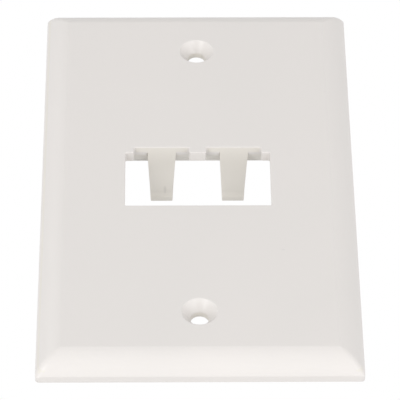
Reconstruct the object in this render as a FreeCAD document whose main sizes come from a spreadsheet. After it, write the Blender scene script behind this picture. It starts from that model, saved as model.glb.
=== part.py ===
"""A single-gang communications faceplate for two snap-in modules, moulded in one piece.

Millimetres. The plate stands as it does on a wall: +Z is up and the front faces -Y. The origin
is the centre of the plane in which the rim presses against the wall.

The faceplate is one moulding: a hollow plate with four bevelled edges, two countersunk screw
bosses, a framed bay, and one long spring finger for each module. A finger grows backwards out
of a thin strip of the face at the top of its port and ends in a ramped catch.
"""
import FreeCAD, Part
import math
import os
import Sketcher

sizes = {
    # outer form
    "plate_width": 69.85,
    "plate_height": 114.3,
    "plate_depth": 5.6,
    "corner_radius": 0.8,       # of the rim's four corners
    "mitre_radius": 1.8,        # where two bevels meet
    "rim_straight": 1.8,        # straight part of the rim, behind the bevel
    "bevel_width": 5.25,        # how far the bevel runs in over the front
    "bevel_face_angle": 9.0,    # at which the bevel's arc leaves the front
    "wall": 2.65,
    # screw bosses
    "screw_spacing": 83.34,
    "screw_hole": 3.96,
    "screw_countersink": 7.8,
    "countersink_angle": 78.0,
    "boss_diameter": 10.4,
    "boss_depth": 3.8,          # from the front of the plate to the back of a boss
    # module bay
    "port_pitch": 16.25,
    "bay_height": 18.6,
    "tab_width": 1.925,         # of the stop tab at each side of a port
    "tab_height": 1.73,
    "bay_edge_radius": 0.2,
    "bay_corner_radius": 0.4,
    "frame_wall": 1.6,
    "frame_setback": 0.35,      # of the frame from the sides and foot of the bay
    "frame_depth": 7.65,        # from the front of the plate to the back of the frame
    # spring fingers
    "hinge_wall": 1.5,          # flat part of the strip above a port, behind the front
    "relief_height": 3.6,       # climb of the relief from the strip to the back of the frame
    "lip_run": 2.0,             # the rounded start of the relief
    "lip_rise": 0.9,
    "lip_face_angle": 15.5,     # at which the lip leaves the strip
    "finger_reach": 16.6,       # from the front of the plate to the tip
    "finger_root": 6.4,
    "finger_tip": 4.9,
    "finger_thickness": 1.2,
    "catch_height": 0.75,
    "catch_ramp": 1.5,
    "catch_land": 1.65,         # from the top of the ramp to the tip
    "tip_radius": 0.8,
    # stiffening ribs
    "rib_width": 1.2,
    "rib_depth": 3.6,           # from the front of the plate to the back of a rib
}


class Size:
    """A number that knows the sheet expression it comes from."""

    def __init__(self, value, text):
        self.value = value
        self.text = text

    def __add__(self, other):
        other = as_size(other)
        return Size(self.value + other.value, f"({self.text} + {other.text})")

    def __sub__(self, other):
        other = as_size(other)
        return Size(self.value - other.value, f"({self.text} - {other.text})")

    def __mul__(self, other):
        other = as_size(other)
        return Size(self.value * other.value, f"{self.text} * {other.text}")

    def __truediv__(self, other):
        other = as_size(other)
        return Size(self.value / other.value, f"{self.text} / {other.text}")

    def __neg__(self):
        return Size(-self.value, f"(-1 * {self.text})")


def as_size(number):
    return number if isinstance(number, Size) else Size(number, f"{number}")


def make_sheet(doc):
    sheet = doc.addObject("Spreadsheet::Sheet", "sizes")
    for row, (name, value) in enumerate(sizes.items(), start=1):
        sheet.set(f"A{row}", name)
        sheet.set(f"B{row}", str(value))
        sheet.setAlias(f"B{row}", name)
    doc.recompute()


def size(name):
    return Size(sizes[name], f"sizes.{name}")


def new_sketch(body, role, name, offset=None):
    """A sketch on one of the body's own origin planes, moved along the plane's normal."""
    sketch = body.newObject("Sketcher::SketchObject", name)
    plane = next(item for item in body.Origin.OriginFeatures if item.Role == role)
    sketch.AttachmentSupport = [(plane, "")]
    sketch.MapMode = "FlatFace"
    if offset is not None:
        sketch.setExpression("AttachmentOffset.Base.z", offset.text)
    return sketch


def constrain(sketch, kind, *parts, value=None):
    """Add one constraint; a Size also binds it to the sheet."""
    if value is None:
        sketch.addConstraint(Sketcher.Constraint(kind, *parts))
        return
    index = sketch.addConstraint(Sketcher.Constraint(kind, *parts, value.value))
    sketch.setExpression(f"Constraints[{index}]", value.text)


def pin(sketch, item, point, across, up):
    """Fix one end of a line, or a circle's centre, by its distances from the origin."""
    constrain(sketch, "DistanceX", -1, 1, item, point, value=across)
    constrain(sketch, "DistanceY", -1, 1, item, point, value=up)


def add_polygon(sketch, corners):
    """A closed run of straight lines through corners, each an (across, up) pair of Sizes."""
    points = [FreeCAD.Vector(across.value, up.value, 0) for across, up in corners]
    lines = []
    for start, end in zip(points, points[1:] + points[:1]):
        lines.append(sketch.addGeometry(Part.LineSegment(start, end), False))
    for line, following in zip(lines, lines[1:] + lines[:1]):
        constrain(sketch, "Coincident", line, 2, following, 1)
    for line, (across, up) in zip(lines, corners):
        pin(sketch, line, 1, across, up)


def add_rectangle(sketch, left, right, low, high):
    add_polygon(sketch, [(left, low), (right, low), (right, high), (left, high)])


def add_circle(sketch, across, up, diameter):
    centre = FreeCAD.Vector(across.value, up.value, 0)
    normal = FreeCAD.Vector(0, 0, 1)
    circle = sketch.addGeometry(Part.Circle(centre, normal, diameter.value / 2), False)
    pin(sketch, circle, 3, across, up)
    constrain(sketch, "Diameter", circle, value=diameter)


def extrude(body, kind, name, sketch, length=None, side="One side", reverse=False):
    """A Pad or Pocket of one sketch; with no length it runs through everything, both ways."""
    feature = body.newObject(f"PartDesign::{kind}", name)
    feature.Profile = sketch
    if length is None:
        feature.SideType = "Symmetric"
        feature.Type = "ThroughAll"
    else:
        feature.SideType = side
        feature.Type = "Length"
        feature.setExpression("Length", length.text)
        feature.Reversed = reverse
    body.Document.recompute()
    return feature


def fillet(body, name, radius, is_wanted):
    """Round the wanted edges of the body as it stands."""
    base = body.Tip
    edges = [f"Edge{number}" for number, edge in enumerate(base.Shape.Edges, start=1)
             if is_wanted(edge)]
    feature = body.newObject("PartDesign::Fillet", name)
    feature.Base = (base, edges)
    feature.setExpression("Radius", radius.text)
    body.Document.recompute()
    return feature


def spans(edge, axis, low, high):
    """Whether an edge runs exactly from low to high along an axis (0, 1 or 2)."""
    box = edge.BoundBox
    ends = ((box.XMin, box.XMax), (box.YMin, box.YMax), (box.ZMin, box.ZMax))[axis]
    return math.isclose(ends[0], low, abs_tol=1e-4) and math.isclose(ends[1], high, abs_tol=1e-4)


def within(edge, axis, low, high):
    """Whether an edge lies between low and high along an axis."""
    box = edge.BoundBox
    ends = ((box.XMin, box.XMax), (box.YMin, box.YMax), (box.ZMin, box.ZMax))[axis]
    return ends[0] > low - 1e-4 and ends[1] < high + 1e-4


depth = size("plate_depth")
half_width = size("plate_width") / 2
half_height = size("plate_height") / 2
bay_top = size("bay_height") / 2
bay_side = size("port_pitch")               # two ports, side by side
finger_middle = size("port_pitch") / 2
port_side = size("port_pitch") / 2 - size("tab_width")   # half the clear width of a port


def arc_radius(run, rise, lean):
    """Radius of the arc over a run and a rise that sets out at the lean, in degrees."""
    turn = math.atan2(rise.value, run.value) - math.radians(lean.value)
    radius = math.hypot(run.value, rise.value) / (2 * math.sin(turn))
    return Size(radius, f"sqrt({run.text}^2 + {rise.text}^2)"
                        f" / (2 * sin(atan({rise.text} / {run.text}) - {lean.text} * 1 deg))")


def add_bowed_polygon(sketch, corners, radius, centre_side):
    """A closed run of lines through corners whose last side, back to the first, is an arc.

    The arc's centre lies towards centre_side, a plain (across, up) direction.
    """
    points = [FreeCAD.Vector(across.value, up.value, 0) for across, up in corners]
    lines = [sketch.addGeometry(Part.LineSegment(start, end), False)
             for start, end in zip(points, points[1:])]
    chord = points[0] - points[-1]
    square = FreeCAD.Vector(-chord.y, chord.x, 0).normalize()
    if square.dot(FreeCAD.Vector(*centre_side, 0)) < 0:
        square = -square
    sagitta = radius.value - math.sqrt(radius.value ** 2 - chord.Length ** 2 / 4)
    bulge = (points[0] + points[-1]) / 2 - square * sagitta
    arc = sketch.addGeometry(Part.Arc(points[-1], bulge, points[0]), False)
    starts = 1 if sketch.getPoint(arc, 1).distanceToPoint(points[-1]) < 1e-6 else 2
    for line, following in zip(lines, lines[1:]):
        constrain(sketch, "Coincident", line, 2, following, 1)
    constrain(sketch, "Coincident", lines[-1], 2, arc, starts)
    constrain(sketch, "Coincident", arc, 3 - starts, lines[0], 1)
    for line, corner in zip(lines, corners):
        pin(sketch, line, 1, *corner)
    pin(sketch, lines[-1], 2, *corners[-1])
    constrain(sketch, "Radius", arc, value=radius)


def bevel_profile(sketch, edge, sign, swap):
    """The sliver that the bevel takes off one edge: an arc and the two sides of the corner."""

    def place(across, forward):
        return (forward, across) if swap else (across, forward)

    rim = place(edge * sign, -size("rim_straight"))
    face = place((edge - size("bevel_width")) * sign, -depth)
    corner = place(edge * sign, -depth)
    radius = arc_radius(size("bevel_width"), depth - size("rim_straight"),
                        size("bevel_face_angle"))
    inwards = [face[axis].value + rim[axis].value - 2 * corner[axis].value for axis in (0, 1)]
    add_bowed_polygon(sketch, [face, corner, rim], radius, inwards)


def make_shell(body):
    """The bevelled, mitred plate, hollow from behind."""
    blank = new_sketch(body, "XZ_Plane", "plate_outline")
    add_rectangle(blank, -half_width, half_width, -half_height, half_height)
    extrude(body, "Pad", "plate_blank", blank, depth)

    side_bevels = new_sketch(body, "XY_Plane", "side_bevel_profiles")
    end_bevels = new_sketch(body, "YZ_Plane", "end_bevel_profiles")
    for sign in (1, -1):
        bevel_profile(side_bevels, half_width, sign, swap=False)
        bevel_profile(end_bevels, half_height, sign, swap=True)
    extrude(body, "Pocket", "side_bevels", side_bevels)
    extrude(body, "Pocket", "end_bevels", end_bevels)

    back = [f"Face{number}" for number, face in enumerate(body.Tip.Shape.Faces, start=1)
            if math.isclose(face.BoundBox.YMin, 0, abs_tol=1e-4)]
    base = body.Tip
    hollow = body.newObject("PartDesign::Thickness", "hollow_back")
    hollow.Base = (base, back)
    hollow.Mode = "Skin"
    hollow.Join = "Arc"
    hollow.Reversed = True
    hollow.setExpression("Value", "sizes.wall")
    body.Document.recompute()

    bevel = size("bevel_width").value
    fillet(body, "mitre_rounds", size("mitre_radius"),
           lambda edge: math.isclose(edge.BoundBox.XLength, bevel, abs_tol=1e-3)
           and math.isclose(edge.BoundBox.ZLength, bevel, abs_tol=1e-3))
    across, up = half_width.value, half_height.value
    fillet(body, "corner_rounds", size("corner_radius"),
           lambda edge: edge.BoundBox.YMax > -1e-4
           and spans(edge, 0, edge.BoundBox.XMin, edge.BoundBox.XMin)
           and math.isclose(abs(edge.BoundBox.XMin), across, abs_tol=1e-4)
           and spans(edge, 2, edge.BoundBox.ZMin, edge.BoundBox.ZMin)
           and math.isclose(abs(edge.BoundBox.ZMin), up, abs_tol=1e-4))


def make_bosses_and_ribs(body):
    """Screw bosses, and ribs from the bay's frame to the bosses and the rim."""
    screw = size("screw_spacing") / 2
    bosses = new_sketch(body, "XZ_Plane", "boss_outlines", depth - size("boss_depth"))
    for up in (screw, -screw):
        add_circle(bosses, as_size(0), up, size("boss_diameter"))
    extrude(body, "Pad", "screw_bosses", bosses, size("boss_depth") - size("wall") / 2)

    ribs = new_sketch(body, "XZ_Plane", "rib_outlines", depth - size("rib_depth"))
    middle = (size("boss_diameter") - size("rib_width")) / 2
    half_rib = size("rib_width") / 2
    rim = size("bevel_width") / 2
    for sign in (1, -1):
        add_rectangle(ribs, middle * sign - half_rib, middle * sign + half_rib,
                      frame_top(), half_height - rim)
        add_rectangle(ribs, middle * sign - half_rib, middle * sign + half_rib,
                      -half_height + rim, -frame_foot())
    extrude(body, "Pad", "long_ribs", ribs, size("rib_depth") - size("wall") / 2)

    cross = new_sketch(body, "XZ_Plane", "cross_rib_outlines", depth - size("rib_depth"))
    for level in (frame_top() - size("frame_wall") / 2, -frame_foot() + size("frame_wall") / 2):
        for sign in (1, -1):
            near, far = frame_side() * sign, (half_width - rim) * sign
            add_rectangle(cross, near, far, level - half_rib, level + half_rib)
    extrude(body, "Pad", "cross_ribs", cross, size("rib_depth") - size("wall") / 2)


def frame_side():
    return bay_side + size("frame_setback") + size("frame_wall")


def frame_foot():
    return bay_top + size("frame_setback") + size("frame_wall")


def frame_top():
    return bay_top + size("relief_height") + size("frame_wall")


def make_bay(body):
    """The module opening with its stop tabs, the frame behind it and the relief over each port."""
    frame = new_sketch(body, "XZ_Plane", "frame_outline", depth - size("frame_depth"))
    wall = size("frame_wall")
    add_rectangle(frame, -frame_side(), frame_side(), -frame_foot(), frame_top())
    add_rectangle(frame, -frame_side() + wall, frame_side() - wall,
                  -frame_foot() + wall, frame_top() - wall)
    extrude(body, "Pad", "bay_frame", frame, size("frame_depth") - size("wall") / 2)

    opening = new_sketch(body, "XZ_Plane", "bay_outline")
    tab_foot = bay_top - size("tab_height")
    corners = [(bay_side, -bay_top), (bay_side, tab_foot)]
    for middle in (finger_middle, -finger_middle):
        corners += [(middle + port_side, tab_foot), (middle + port_side, bay_top),
                    (middle - port_side, bay_top), (middle - port_side, tab_foot)]
    corners += [(-bay_side, tab_foot), (-bay_side, -bay_top)]
    add_polygon(opening, corners)
    extrude(body, "Pocket", "module_opening", opening)

    front = -depth.value
    across, up = bay_side.value, bay_top.value
    corner = size("bay_corner_radius")
    fillet(body, "bay_corners", corner,
           lambda edge: len(edge.Vertexes) == 2
           and math.isclose(edge.BoundBox.YMin, front, abs_tol=1e-4)
           and edge.BoundBox.YMax > front + 1e-4
           and within(edge, 0, -across, across) and within(edge, 2, -up, up))

    room = new_sketch(body, "XZ_Plane", "relief_outlines", depth - size("hinge_wall"))
    for middle in (finger_middle, -finger_middle):
        add_rectangle(room, middle - port_side, middle + port_side,
                      bay_top - corner, bay_top + size("relief_height"))
    extrude(body, "Pocket", "relief_room", room, depth)

    slope = new_sketch(body, "YZ_Plane", "relief_profile")
    strip = -depth + size("hinge_wall")
    back = -depth + size("frame_depth")
    top = bay_top + size("relief_height")
    radius = arc_radius(size("lip_run"), size("lip_rise"), size("lip_face_angle"))
    add_bowed_polygon(slope, [
        (strip + size("lip_run"), bay_top + size("lip_rise")),
        (back, top),
        (back, top + size("frame_wall") / 2),
        (strip, top + size("frame_wall") / 2),
        (strip, bay_top),
    ], radius, (0, 1))
    width = (frame_side() - size("frame_wall") / 2) * 2
    extrude(body, "Pad", "relief_slope", slope, width, "Symmetric")


def make_fingers(body):
    """The two spring fingers: a side profile, tapered in plan and mirrored."""
    root = -depth + size("hinge_wall")
    tip = size("finger_reach") - depth
    foot = bay_top - size("catch_height")
    catch = tip - size("catch_land")

    profile = new_sketch(body, "YZ_Plane", "finger_profile", finger_middle)
    add_polygon(profile, [
        (root - size("hinge_wall") / 2, bay_top),
        (catch - size("catch_ramp"), bay_top),
        (catch, foot),
        (tip, foot),
        (tip, bay_top + size("finger_thickness")),
        (root - size("hinge_wall") / 2, bay_top + size("finger_thickness")),
    ])
    finger = extrude(body, "Pad", "finger", profile, size("finger_root"), "Symmetric")

    plan = new_sketch(body, "XY_Plane", "finger_taper_outlines", foot)
    for sign in (1, -1):
        wide = finger_middle + size("finger_root") / 2 * sign
        narrow = finger_middle + size("finger_tip") / 2 * sign
        add_polygon(plan, [(wide, root), (wide, tip), (narrow, tip)])
    taper = extrude(body, "Pocket", "finger_taper", plan,
                    size("catch_height") + size("finger_thickness"), reverse=True)

    mirror = body.newObject("PartDesign::Mirrored", "fingers")
    mirror.Originals = [finger, taper]
    plane = next(item for item in body.Origin.OriginFeatures if item.Role == "YZ_Plane")
    mirror.MirrorPlane = (plane, [""])
    body.Tip = mirror
    body.Document.recompute()

    fillet(body, "finger_tip_round", size("tip_radius"),
           lambda edge: spans(edge, 1, tip.value, tip.value)
           and spans(edge, 2, foot.value, foot.value))


def make_screw_holes(body):
    """Two countersunk holes, drilled from the front."""
    screw = size("screw_spacing") / 2
    centres = new_sketch(body, "XZ_Plane", "screw_centres", depth)
    for up in (screw, -screw):
        add_circle(centres, as_size(0), up, size("screw_hole"))
    body.Document.recompute()
    hole = body.newObject("PartDesign::Hole", "screw_holes")
    hole.Profile = centres
    hole.DepthType = "ThroughAll"
    hole.Threaded = False
    hole.HoleCutType = "Countersink"
    hole.HoleCutCustomValues = True
    hole.setExpression("Diameter", "sizes.screw_hole")
    hole.setExpression("HoleCutDiameter", "sizes.screw_countersink")
    hole.setExpression("HoleCutCountersinkAngle", "sizes.countersink_angle")
    body.Document.recompute()


def soften_bay(body):
    """Round the bay's front edge."""
    front = -depth.value
    across, up = bay_side.value, bay_top.value
    fillet(body, "bay_edge", size("bay_edge_radius"),
           lambda edge: spans(edge, 1, front, front)
           and within(edge, 0, -across, across) and within(edge, 2, -up, up))


def make_faceplate(doc):
    body = doc.addObject("PartDesign::Body", "faceplate")
    body.Label = "faceplate"
    make_shell(body)
    make_bosses_and_ribs(body)
    make_bay(body)
    make_fingers(body)
    make_screw_holes(body)
    soften_bay(body)
    return body


def check(doc, bodies):
    for item in doc.Objects:
        if "Invalid" in item.State or "Error" in item.State:
            raise RuntimeError(f"{item.Name} failed: {item.State}")
    for body in bodies:
        if body.Shape.isNull() or not body.Shape.isValid():
            raise RuntimeError(f"{body.Label} has no valid shape")
        print(body.Label, "solids", len(body.Shape.Solids), "volume", round(body.Shape.Volume, 1))


def main():
    doc = FreeCAD.newDocument("faceplate")
    make_sheet(doc)
    bodies = [make_faceplate(doc)]
    doc.recompute()
    check(doc, bodies)
    os.makedirs("parts", exist_ok=True)
    for body in bodies:
        body.Shape.exportStep(f"parts/{body.Label}.step")


main()
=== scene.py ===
from math import radians

import bmesh
import bpy
from mathutils import Matrix, Vector


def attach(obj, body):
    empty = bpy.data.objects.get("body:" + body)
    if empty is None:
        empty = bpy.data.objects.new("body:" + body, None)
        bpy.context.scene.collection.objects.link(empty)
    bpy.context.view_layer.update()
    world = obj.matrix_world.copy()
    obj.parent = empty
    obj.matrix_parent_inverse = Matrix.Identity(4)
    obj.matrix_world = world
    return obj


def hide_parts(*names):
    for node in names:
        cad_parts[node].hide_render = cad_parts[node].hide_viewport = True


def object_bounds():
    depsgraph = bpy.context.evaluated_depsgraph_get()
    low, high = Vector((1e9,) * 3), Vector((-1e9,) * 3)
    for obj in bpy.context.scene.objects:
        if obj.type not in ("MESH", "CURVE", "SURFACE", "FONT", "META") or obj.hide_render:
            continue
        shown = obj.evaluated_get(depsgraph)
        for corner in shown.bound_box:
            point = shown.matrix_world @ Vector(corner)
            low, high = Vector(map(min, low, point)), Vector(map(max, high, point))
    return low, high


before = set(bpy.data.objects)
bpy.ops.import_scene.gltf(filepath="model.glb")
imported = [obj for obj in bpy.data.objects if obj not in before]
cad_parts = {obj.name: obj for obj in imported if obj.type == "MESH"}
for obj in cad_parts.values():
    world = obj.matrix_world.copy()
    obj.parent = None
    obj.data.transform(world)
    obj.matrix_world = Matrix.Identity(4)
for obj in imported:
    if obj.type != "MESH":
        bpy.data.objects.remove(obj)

mm = 0.001
cadLow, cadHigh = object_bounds()
scene = bpy.context.scene
scene.view_settings.view_transform = "Standard"


# helpers for node trees, objects and meshes
def addNode(tree, kind, place=(0, 0), inputs=None, **settings):
    node = tree.nodes.new(kind)
    node.location = place
    for name, value in settings.items():
        setattr(node, name, value)
    for name, value in (inputs or {}).items():
        node.inputs[name].default_value = value
    return node


def addMath(tree, place, operation, *sources, kind="ShaderNodeMath"):
    # each source is a number or another node's output
    node = addNode(tree, kind, place, operation=operation)
    for socket, source in zip(node.inputs, sources):
        if isinstance(source, float):
            socket.default_value = source
        else:
            tree.links.new(source, socket)
    return node.outputs["Value" if operation == "LENGTH" else 0]


def addMix(tree, place, kind, share, first, second):
    # the kind is Float or Color, as the node's own sockets are called
    mix = addNode(tree, "ShaderNodeMix", place,
                  data_type={"Float": "FLOAT", "Color": "RGBA"}[kind])
    sockets = {socket.identifier: socket for socket in (*mix.inputs, *mix.outputs)}
    tree.links.new(share, sockets["Factor_Float"])
    tree.links.new(first, sockets["A_" + kind])
    tree.links.new(second, sockets["B_" + kind])
    return sockets["Result_" + kind]


def addRamp(tree, place, source, start, end, **settings):
    # 0 where the source is at the start, 1 where it is at the end
    ramp = addNode(tree, "ShaderNodeMapRange", place,
                   {"From Min": start, "From Max": end}, **settings)
    tree.links.new(source, ramp.inputs["Value"])
    return ramp.outputs["Result"]


def addNoise(tree, place, vector, size, inputs):
    # the size is about how far it is from one blotch to the next
    noise = addNode(tree, "ShaderNodeTexNoise", place, inputs)
    scale = addMath(tree, (place[0] - 200, place[1]), "DIVIDE", 1.0, size)
    tree.links.new(scale, noise.inputs["Scale"])
    tree.links.new(vector, noise.inputs["Vector"])
    return noise.outputs["Fac"]


def newGroup(name, kind, ins, outs):
    tree = bpy.data.node_groups.new(name, kind)
    for label, socketKind, value in ins:
        socket = tree.interface.new_socket(label, in_out="INPUT", socket_type=socketKind)
        if value is not None:
            socket.default_value = value
    for label, socketKind in outs:
        tree.interface.new_socket(label, in_out="OUTPUT", socket_type=socketKind)
    start = addNode(tree, "NodeGroupInput", (-1000, 0))
    end = addNode(tree, "NodeGroupOutput", (1200, 0))
    return tree, start.outputs, end.inputs


def linkObject(name, data):
    item = bpy.data.objects.new(name, data)
    scene.collection.objects.link(item)
    return item


def asPlainMesh(piece):
    bpy.context.view_layer.update()
    graph = bpy.context.evaluated_depsgraph_get()
    mesh = bpy.data.meshes.new_from_object(piece.evaluated_get(graph), depsgraph=graph)
    piece.modifiers.clear()
    piece.data = mesh


camera = {
    "place": (-0.00723, -0.50828, -0.52098),
    "aim": (0.00039, -0.00560, -0.00769),
    "roll": -0.768,             # degrees
    "lens": 292.24,             # in mm, as the sensor is
    "sensorWidth": 36,
    "clip": (0.05, 20),
}


def addCamera(spec):
    data = bpy.data.cameras.new("productCamera")
    data.lens = spec["lens"]
    data.sensor_width = spec["sensorWidth"]
    data.clip_start, data.clip_end = spec["clip"]
    item = linkObject("productCamera", data)
    look = (Vector(spec["aim"]) - Vector(spec["place"])).to_track_quat("-Z", "Y")
    item.matrix_world = (Matrix.Translation(spec["place"]) @ look.to_matrix().to_4x4()
                         @ Matrix.Rotation(radians(spec["roll"]), 4, "Z"))
    scene.camera = item


addCamera(camera)
print("camera in place")


# two key lamps low in front, one lamp at each side and one high on the left,
# in an even white room; each lamp is aimed at the part
lamps = {
    "leftKey": {"place": (-0.75, -0.95, -0.95), "size": 0.6, "watts": 6.1},
    "rightKey": {"place": (0.75, -0.95, -0.95), "size": 0.6, "watts": 3.8},
    "leftSide": {"place": (-0.95, -0.167, -1.149), "size": 0.8, "watts": 5.3},
    "rightSide": {"place": (1.313, -0.352, -0.634), "size": 0.8, "watts": 4.8},
    "highLeft": {"place": (-0.995, -0.835, 0.75), "size": 0.8, "watts": 2.1},
}
room = {"ambient": 0.575, "white": (1, 1, 1, 1)}
floor = {"height": -1.3, "size": 5.0, "paint": (0.8, 0.8, 0.8, 1), "roughness": 0.7}


def addLamp(name, spec):
    data = bpy.data.lights.new(name, "AREA")
    data.shape = "SQUARE"
    data.size = spec["size"]
    data.energy = spec["watts"]
    item = linkObject(name, data)
    item.location = spec["place"]
    item.rotation_mode = "QUATERNION"
    item.rotation_quaternion = (-Vector(spec["place"])).to_track_quat("-Z", "Y")


def addRoom(spec):
    # camera, mirror and see-through rays meet plain white, all others the ambient light
    world = bpy.data.worlds.new("whiteStudio")
    scene.world = world
    world.use_nodes = True
    tree = world.node_tree
    tree.nodes.clear()
    link = tree.links.new
    ambient = addNode(tree, "ShaderNodeBackground", (-300, 0),
                      {"Color": spec["white"], "Strength": spec["ambient"]})
    plain = addNode(tree, "ShaderNodeBackground", (-300, -150),
                    {"Color": spec["white"], "Strength": 1})
    rays = addNode(tree, "ShaderNodeLightPath", (-700, 300)).outputs
    mirrored = addMath(tree, (-500, 300), "MAXIMUM",
                       rays["Is Glossy Ray"], rays["Is Transmission Ray"])
    seen = addMath(tree, (-300, 300), "MAXIMUM", mirrored, rays["Is Camera Ray"])
    mix = addNode(tree, "ShaderNodeMixShader")
    out = addNode(tree, "ShaderNodeOutputWorld", (300, 0))
    link(seen, mix.inputs[0])
    link(ambient.outputs[0], mix.inputs[1])
    link(plain.outputs[0], mix.inputs[2])
    link(mix.outputs[0], out.inputs["Surface"])


def addFloor(spec):
    half = spec["size"] / 2
    corners = [(-half, -half), (half, -half), (half, half), (-half, half)]
    mesh = bpy.data.meshes.new("floor")
    mesh.from_pydata([(x, y, spec["height"]) for x, y in corners], [], [(0, 1, 2, 3)])
    paint = bpy.data.materials.new("floorPaint")
    paint.use_nodes = True
    skin = paint.node_tree.nodes["Principled BSDF"]
    skin.inputs["Base Color"].default_value = spec["paint"]
    skin.inputs["Roughness"].default_value = spec["roughness"]
    mesh.materials.append(paint)
    linkObject("floor", mesh)


for lampName, lampSpec in lamps.items():
    addLamp(lampName, lampSpec)
addRoom(room)
addFloor(floor)
print("lamps and floor in place")


# effects that both finishes share; a band is the part of a noise over which it sets in
effectShapes = {
    "grain": {"grainDetail": 2, "waveDetail": 1},
    "drift": {"detail": 2, "distortion": 0.6, "band": (0.35, 0.65)},
    "handling": [
        {"size": "Patch Size", "detail": 3, "stretch": (1, 1, 1), "band": (0.45, 0.7)},
        {"size": "Scuff Size", "detail": 4, "stretch": (0.2, 1, 1), "band": (0.62, 0.75)},
    ],
    "darkOval": {"core": 0.3},   # the share of its reach at which a mark begins to fade
}


def mouldGrainGroup(spec):
    # the fine texture of the mould's steel over the slow waviness of a thin wall
    tree, given, result = newGroup("mouldGrain", "ShaderNodeTree", [
        ("Vector", "NodeSocketVector", None),
        ("Grain Size", "NodeSocketFloat", 0.2 * mm),
        ("Wave Size", "NodeSocketFloat", 6 * mm),
        ("Wave Share", "NodeSocketFloat", 0.5),
    ], [("Height", "NodeSocketFloat")])
    grain = addNoise(tree, (0, 150), given["Vector"], given["Grain Size"],
                     {"Detail": spec["grainDetail"]})
    wave = addNoise(tree, (0, -150), given["Vector"], given["Wave Size"],
                    {"Detail": spec["waveDetail"]})
    height = addMix(tree, (220, 0), "Float", given["Wave Share"], grain, wave)
    tree.links.new(height, result["Height"])
    return tree


def toneDriftGroup(spec):
    # the colour drifts between two near tones, as resin does along its flow
    tree, given, result = newGroup("toneDrift", "ShaderNodeTree", [
        ("Vector", "NodeSocketVector", None),
        ("Tone", "NodeSocketColor", (1, 1, 1, 1)),
        ("Other Tone", "NodeSocketColor", (1, 1, 1, 1)),
        ("Drift Size", "NodeSocketFloat", 20 * mm),
    ], [("Color", "NodeSocketColor")])
    drift = addNoise(tree, (-200, 0), given["Vector"], given["Drift Size"],
                     {"Detail": spec["detail"], "Distortion": spec["distortion"]})
    share = addRamp(tree, (0, 0), drift, *spec["band"])
    colour = addMix(tree, (220, 0), "Color", share, given["Tone"], given["Other Tone"])
    tree.links.new(colour, result["Color"])
    return tree


def handlingGroup(layers):
    # roughness that rises in rubbed patches and in fine scuffs
    tree, given, result = newGroup("handling", "ShaderNodeTree", [
        ("Vector", "NodeSocketVector", None),
        ("Clean", "NodeSocketFloat", 0.35),
        ("Rubbed", "NodeSocketFloat", 0.45),
        ("Patch Size", "NodeSocketFloat", 12 * mm),
        ("Scuff Size", "NodeSocketFloat", 1.5 * mm),
    ], [("Roughness", "NodeSocketFloat")])
    worn = []
    for number, layer in enumerate(layers):
        y = 200 - 400 * number
        drawn = addNode(tree, "ShaderNodeMapping", (-600, y), {"Scale": layer["stretch"]})
        tree.links.new(given["Vector"], drawn.inputs["Vector"])
        noise = addNoise(tree, (-200, y), drawn.outputs[0], given[layer["size"]],
                         {"Detail": layer["detail"]})
        worn.append(addRamp(tree, (0, y), noise, *layer["band"]))
    share = addMath(tree, (200, 0), "MAXIMUM", *worn)
    roughness = addMix(tree, (400, 0), "Float", share, given["Clean"], given["Rubbed"])
    tree.links.new(roughness, result["Roughness"])
    return tree


def darkOvalGroup(spec):
    # one soft oval mark at a place on the part
    tree, given, result = newGroup("darkOval", "ShaderNodeTree", [
        ("Vector", "NodeSocketVector", None),
        ("Color", "NodeSocketColor", (1, 1, 1, 1)),
        ("Place", "NodeSocketVector", None),
        ("Reach", "NodeSocketVector", None),
        ("Oval Tone", "NodeSocketColor", (0.2, 0.2, 0.2, 1)),
        ("Strength", "NodeSocketFloat", 0.2),
    ], [("Color", "NodeSocketColor")])
    kind = "ShaderNodeVectorMath"
    apart = addMath(tree, (-600, 0), "SUBTRACT", given["Vector"], given["Place"], kind=kind)
    ratio = addMath(tree, (-400, 0), "DIVIDE", apart, given["Reach"], kind=kind)
    length = addMath(tree, (-200, 0), "LENGTH", ratio, kind=kind)
    fade = addRamp(tree, (0, 0), length, 1, spec["core"], interpolation_type="SMOOTHSTEP")
    share = addMath(tree, (180, 0), "MULTIPLY", fade, given["Strength"])
    colour = addMix(tree, (360, 0), "Color", share, given["Color"], given["Oval Tone"])
    tree.links.new(colour, result["Color"])
    return tree


effects = {
    "grain": mouldGrainGroup(effectShapes["grain"]),
    "drift": toneDriftGroup(effectShapes["drift"]),
    "handling": handlingGroup(effectShapes["handling"]),
    "darkOval": darkOvalGroup(effectShapes["darkOval"]),
}

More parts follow.
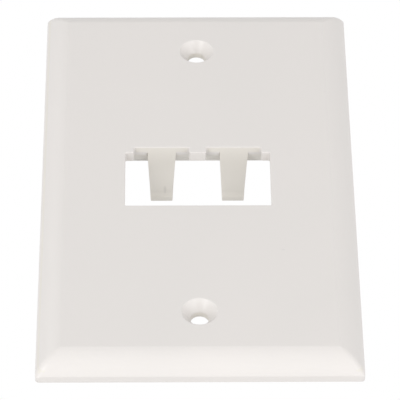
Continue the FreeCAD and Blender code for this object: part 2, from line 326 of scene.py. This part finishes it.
# each effect's values by the names of its inputs; the relief is how high the grain stands
frontFinish = {
    "drift": {"Tone": (0.808, 0.774, 0.748, 1), "Other Tone": (0.796, 0.766, 0.740, 1),
              "Drift Size": 45 * mm},
    "handling": {"Clean": 0.36, "Rubbed": 0.44},
    "grain": {"Grain Size": 0.25 * mm, "Wave Size": 7 * mm, "Wave Share": 0.8},
    "relief": 0.010 * mm,
    "darkOval": {"Place": (18.4 * mm, -5.6 * mm, -23.2 * mm),    # a speck on the face
                "Reach": (0.5 * mm, 0.5 * mm, 0.4 * mm),
                "Oval Tone": (0.45, 0.45, 0.45, 1), "Strength": 0.12},
}
backFinishPaintedWarmth = {
    # its tones are warmer than the face's: painted warmth of light that shines through and
    # bounces inside the white plastic
    "drift": {"Tone": (0.806, 0.772, 0.718, 1), "Other Tone": (0.794, 0.762, 0.706, 1),
              "Drift Size": 20 * mm},
    "handling": {"Clean": 0.44, "Rubbed": 0.54},
    "grain": {"Grain Size": 0.35 * mm, "Wave Size": 5 * mm, "Wave Share": 0.6},
    "relief": 0.014 * mm,
    "darkOval": {"Place": (-7.35 * mm, 7.6 * mm, 9.2 * mm),      # a soft darker oval on the left finger's underside
                "Reach": (0.45 * mm, 1.6 * mm, 0.9 * mm),
                "Oval Tone": (0.25, 0.25, 0.25, 1), "Strength": 0.16},
}


def mouldedPlastic(name, spec):
    finish = bpy.data.materials.new(name)
    finish.use_nodes = True
    tree = finish.node_tree
    link = tree.links.new
    skin = tree.nodes["Principled BSDF"]
    skin.location = (600, 0)
    place = addNode(tree, "ShaderNodeTexCoord", (-900, 0)).outputs["Object"]

    def effect(kind, where):
        node = addNode(tree, "ShaderNodeGroup", where, spec[kind], node_tree=effects[kind])
        link(place, node.inputs["Vector"])
        return node

    drift, darkOval = effect("drift", (-500, 300)), effect("darkOval", (-250, 300))
    link(drift.outputs["Color"], darkOval.inputs["Color"])
    link(darkOval.outputs["Color"], skin.inputs["Base Color"])
    link(effect("handling", (-250, 0)).outputs["Roughness"], skin.inputs["Roughness"])
    bump = addNode(tree, "ShaderNodeBump", (200, -300),
                   {"Strength": 1, "Distance": spec["relief"]})
    link(effect("grain", (-250, -300)).outputs["Height"], bump.inputs["Height"])
    link(bump.outputs["Normal"], skin.inputs["Normal"])
    return finish


satinFront = mouldedPlastic("satinFront", frontFinish)
# the back's plastic is matte, and its warmer tone is painted light bounced inside the
# hollow
matteBackPaintedWarmth = mouldedPlastic("matteBackPaintedWarmth", backFinishPaintedWarmth)
print("finishes mixed")


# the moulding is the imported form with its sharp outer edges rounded
moulding = {
    "weldGap": 0.001 * mm,
    "flatAngle": 0.4,           # degrees, faces that turn less than this are made one
    "creaseAngle": 3.0,         # edges that turn less than this are smooth
    "roundedAngle": 25.0,       # outer edges that turn more than this are rounded
    "edgeRadius": 0.12 * mm,
    "edgeSegments": 3,
    "backLevel": -2.95 * mm,    # the flat of the hollow back
    "backSlack": 0.01 * mm,     # how far before that flat the back finish begins
    "rimInset": 0.6 * mm,
}


def markCreases(form, least):
    # an edge is a crease where the form's own normals differ across it
    normals = form.loops.layers.float_vector["cadNormal"]
    for edge in form.edges:
        turns = []
        for vert in edge.verts:
            corners = [loop[normals] for loop in vert.link_loops
                       if loop.face in edge.link_faces]
            turns.append(corners[0].angle(corners[1]) if len(corners) == 2 else 0)
        edge.smooth = min(turns) < radians(least)


def readForm(node, spec):
    # a welded copy of the node's triangles, its flat faces whole and its creases marked
    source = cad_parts[node].data.copy()
    normals = source.attributes.new("cadNormal", "FLOAT_VECTOR", "CORNER")
    normals.data.foreach_set("vector", [value for corner in source.corner_normals
                                        for value in corner.vector])
    form = bmesh.new()
    form.from_mesh(source)
    bmesh.ops.remove_doubles(form, verts=form.verts, dist=spec["weldGap"])
    markCreases(form, spec["creaseAngle"])
    bmesh.ops.dissolve_limit(form, angle_limit=radians(spec["flatAngle"]), verts=form.verts,
                             edges=form.edges, delimit={"NORMAL", "SHARP"})
    form.loops.layers.float_vector.remove(form.loops.layers.float_vector["cadNormal"])
    form.normal_update()
    return form


def makeMoulding(spec):
    form = readForm("faceplate", spec)
    weights = form.edges.layers.float.new("bevel_weight_edge")
    for edge in form.edges:
        if edge.is_convex and edge.calc_face_angle(0) > radians(spec["roundedAngle"]):
            edge.smooth = True
            edge[weights] = 1
    mesh = bpy.data.meshes.new("moulding")
    form.to_mesh(mesh)
    form.free()
    piece = linkObject("moulding", mesh)
    soften = piece.modifiers.new("softEdges", "BEVEL")
    soften.limit_method = "WEIGHT"
    soften.width = spec["edgeRadius"]
    soften.segments = spec["edgeSegments"]
    soften.use_clamp_overlap = False
    asPlainMesh(piece)
    piece.data.shade_smooth()
    flatten = piece.modifiers.new("flatFaces", "WEIGHTED_NORMAL")
    flatten.keep_sharp = True
    asPlainMesh(piece)
    return piece


def dressMoulding(piece, spec, front, back):
    # the back finish, with its painted warmth, covers all that lies behind the wall, but
    # not the outside of the rim
    mesh = piece.data
    mesh.materials.append(front)
    mesh.materials.append(back)
    for face in mesh.polygons:
        x, y, z = face.center
        inRim = (abs(x) < cadHigh[0] - spec["rimInset"]
                 and abs(z) < cadHigh[2] - spec["rimInset"])
        face.material_index = int(inRim and y > spec["backLevel"] - spec["backSlack"])


plate = makeMoulding(moulding)
dressMoulding(plate, moulding, satinFront, matteBackPaintedWarmth)
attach(plate, "root")
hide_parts("faceplate")
print("moulding made:", len(plate.data.polygons), "faces")


# the round marks that the ejector pins leave on the hollow back, in rows and columns
ejectorMarks = {
    "columns": 2, "rows": 4,
    "columnPitch": 51.0 * mm, "rowPitch": 32.6 * mm,
    "radius": 1.9 * mm, "sides": 40,
    "proud": 0.25 * mm,
    "sunk": 0.05 * mm,
}


def ejectorTree(finish):
    tree, given, result = newGroup("ejectorMarks", "GeometryNodeTree", [
        ("Columns", "NodeSocketInt", 2),
        ("Rows", "NodeSocketInt", 4),
        ("Column Pitch", "NodeSocketFloat", 50 * mm),
        ("Row Pitch", "NodeSocketFloat", 30 * mm),
        ("Radius", "NodeSocketFloat", 2 * mm),
        ("Sides", "NodeSocketInt", 40),
        ("Thickness", "NodeSocketFloat", 0.1 * mm),
        ("Level", "NodeSocketFloat", 0.0),
    ], [("Geometry", "NodeSocketGeometry")])
    link = tree.links.new

    def spread(count, pitch, y):
        gaps = addMath(tree, (-200, y), "SUBTRACT", given[count], 1.0)
        return addMath(tree, (-20, y), "MULTIPLY", gaps, given[pitch])

    grid = addNode(tree, "GeometryNodeMeshGrid", (200, 0))
    link(spread("Columns", "Column Pitch", 200), grid.inputs["Size X"])
    link(spread("Rows", "Row Pitch", 0), grid.inputs["Size Y"])
    link(given["Columns"], grid.inputs["Vertices X"])
    link(given["Rows"], grid.inputs["Vertices Y"])
    disc = addNode(tree, "GeometryNodeMeshCylinder", (200, -250), fill_type="NGON")
    link(given["Sides"], disc.inputs["Vertices"])
    link(given["Radius"], disc.inputs["Radius"])
    link(given["Thickness"], disc.inputs["Depth"])
    each = addNode(tree, "GeometryNodeInstanceOnPoints", (420, 0))
    link(grid.outputs["Mesh"], each.inputs["Points"])
    link(disc.outputs["Mesh"], each.inputs["Instance"])
    level = addNode(tree, "ShaderNodeCombineXYZ", (420, -250))
    link(given["Level"], level.inputs["Y"])
    upright = addNode(tree, "GeometryNodeTransform", (620, 0),
                      {"Rotation": (radians(90), 0, 0)})
    link(each.outputs[0], upright.inputs["Geometry"])
    link(level.outputs[0], upright.inputs["Translation"])
    real = addNode(tree, "GeometryNodeRealizeInstances", (820, 0))
    paint = addNode(tree, "GeometryNodeSetMaterial", (1000, 0), {"Material": finish})
    link(upright.outputs[0], real.inputs["Geometry"])
    link(real.outputs[0], paint.inputs["Geometry"])
    link(paint.outputs[0], result["Geometry"])
    return tree


def makeEjectorMarks(spec, level, finish):
    tree = ejectorTree(finish)
    piece = linkObject("ejectorMarks", bpy.data.meshes.new("ejectorMarks"))
    nodes = piece.modifiers.new("ejectorMarks", "NODES")
    nodes.node_group = tree
    values = {"Columns": spec["columns"], "Rows": spec["rows"],
              "Column Pitch": spec["columnPitch"], "Row Pitch": spec["rowPitch"],
              "Radius": spec["radius"], "Sides": spec["sides"],
              "Thickness": spec["proud"] + spec["sunk"],
              "Level": level + (spec["proud"] - spec["sunk"]) / 2}
    for item in tree.interface.items_tree:
        if item.in_out == "INPUT":
            nodes[item.identifier] = values[item.name]
    asPlainMesh(piece)
    return piece


marks = makeEjectorMarks(ejectorMarks, moulding["backLevel"], matteBackPaintedWarmth)
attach(marks, "root")
print("ejector marks made:", len(marks.data.polygons), "faces")
